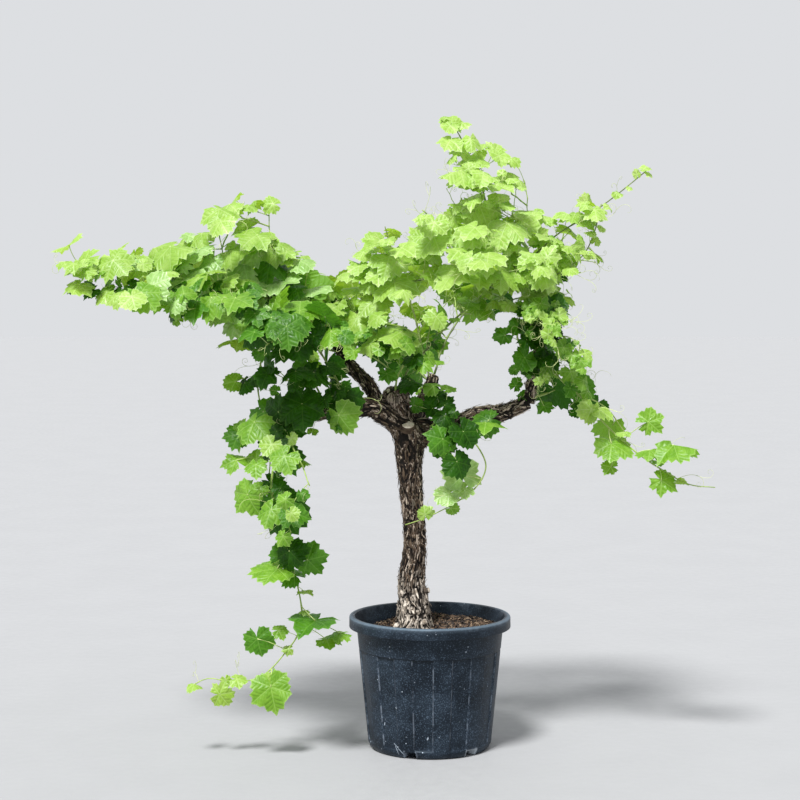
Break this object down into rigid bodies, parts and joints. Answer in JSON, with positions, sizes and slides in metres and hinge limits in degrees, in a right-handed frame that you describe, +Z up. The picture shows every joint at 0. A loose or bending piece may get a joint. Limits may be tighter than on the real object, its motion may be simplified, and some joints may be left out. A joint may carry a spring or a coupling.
{
  "type": "potted standard grapevine",
  "caption": "Old grapevine on a short upright trunk in a round ribbed nursery pot, with gnarled arms and long leafy canes that spread, rise and hang.",
  "frame": {"origin": "centre of the pot's flat underside, on the surface that it stands on", "axes": "+Z up along the pot's axis, -Y towards the side that the picture shows, +X to the right as seen from there"},
  "size_m": [2.018, 0.9412, 1.9546],
  "materials": {
    "pot": "satin",
    "soil": "matte",
    "bark": "matte",
    "foliage": "satin"
  },
  "bodies": {
    "root": {"pot": "pot", "soil": "soil", "trunk": "bark", "left_arm": "bark", "head_stub": "bark", "upper_left_arm": "bark", "right_arm": "bark", "right_spur": "bark", "back_arm": "bark", "front_hanging": "foliage", "left_arm_leaves": "foliage", "centre_leaves": "foliage", "head_leaves": "foliage", "left_upper": "foliage", "left_lower": "foliage", "left_back": "foliage", "left_front": "foliage", "hanging_left": "foliage", "hanging_left_inner": "foliage", "centre": "foliage", "mid_right": "foliage", "top_shoot": "foliage", "right_up": "foliage", "right_inner": "foliage", "hanging_right": "foliage", "right_back": "foliage", "back_left": "foliage", "back_up": "foliage", "back_right": "foliage"}
  },
  "joints": []
}
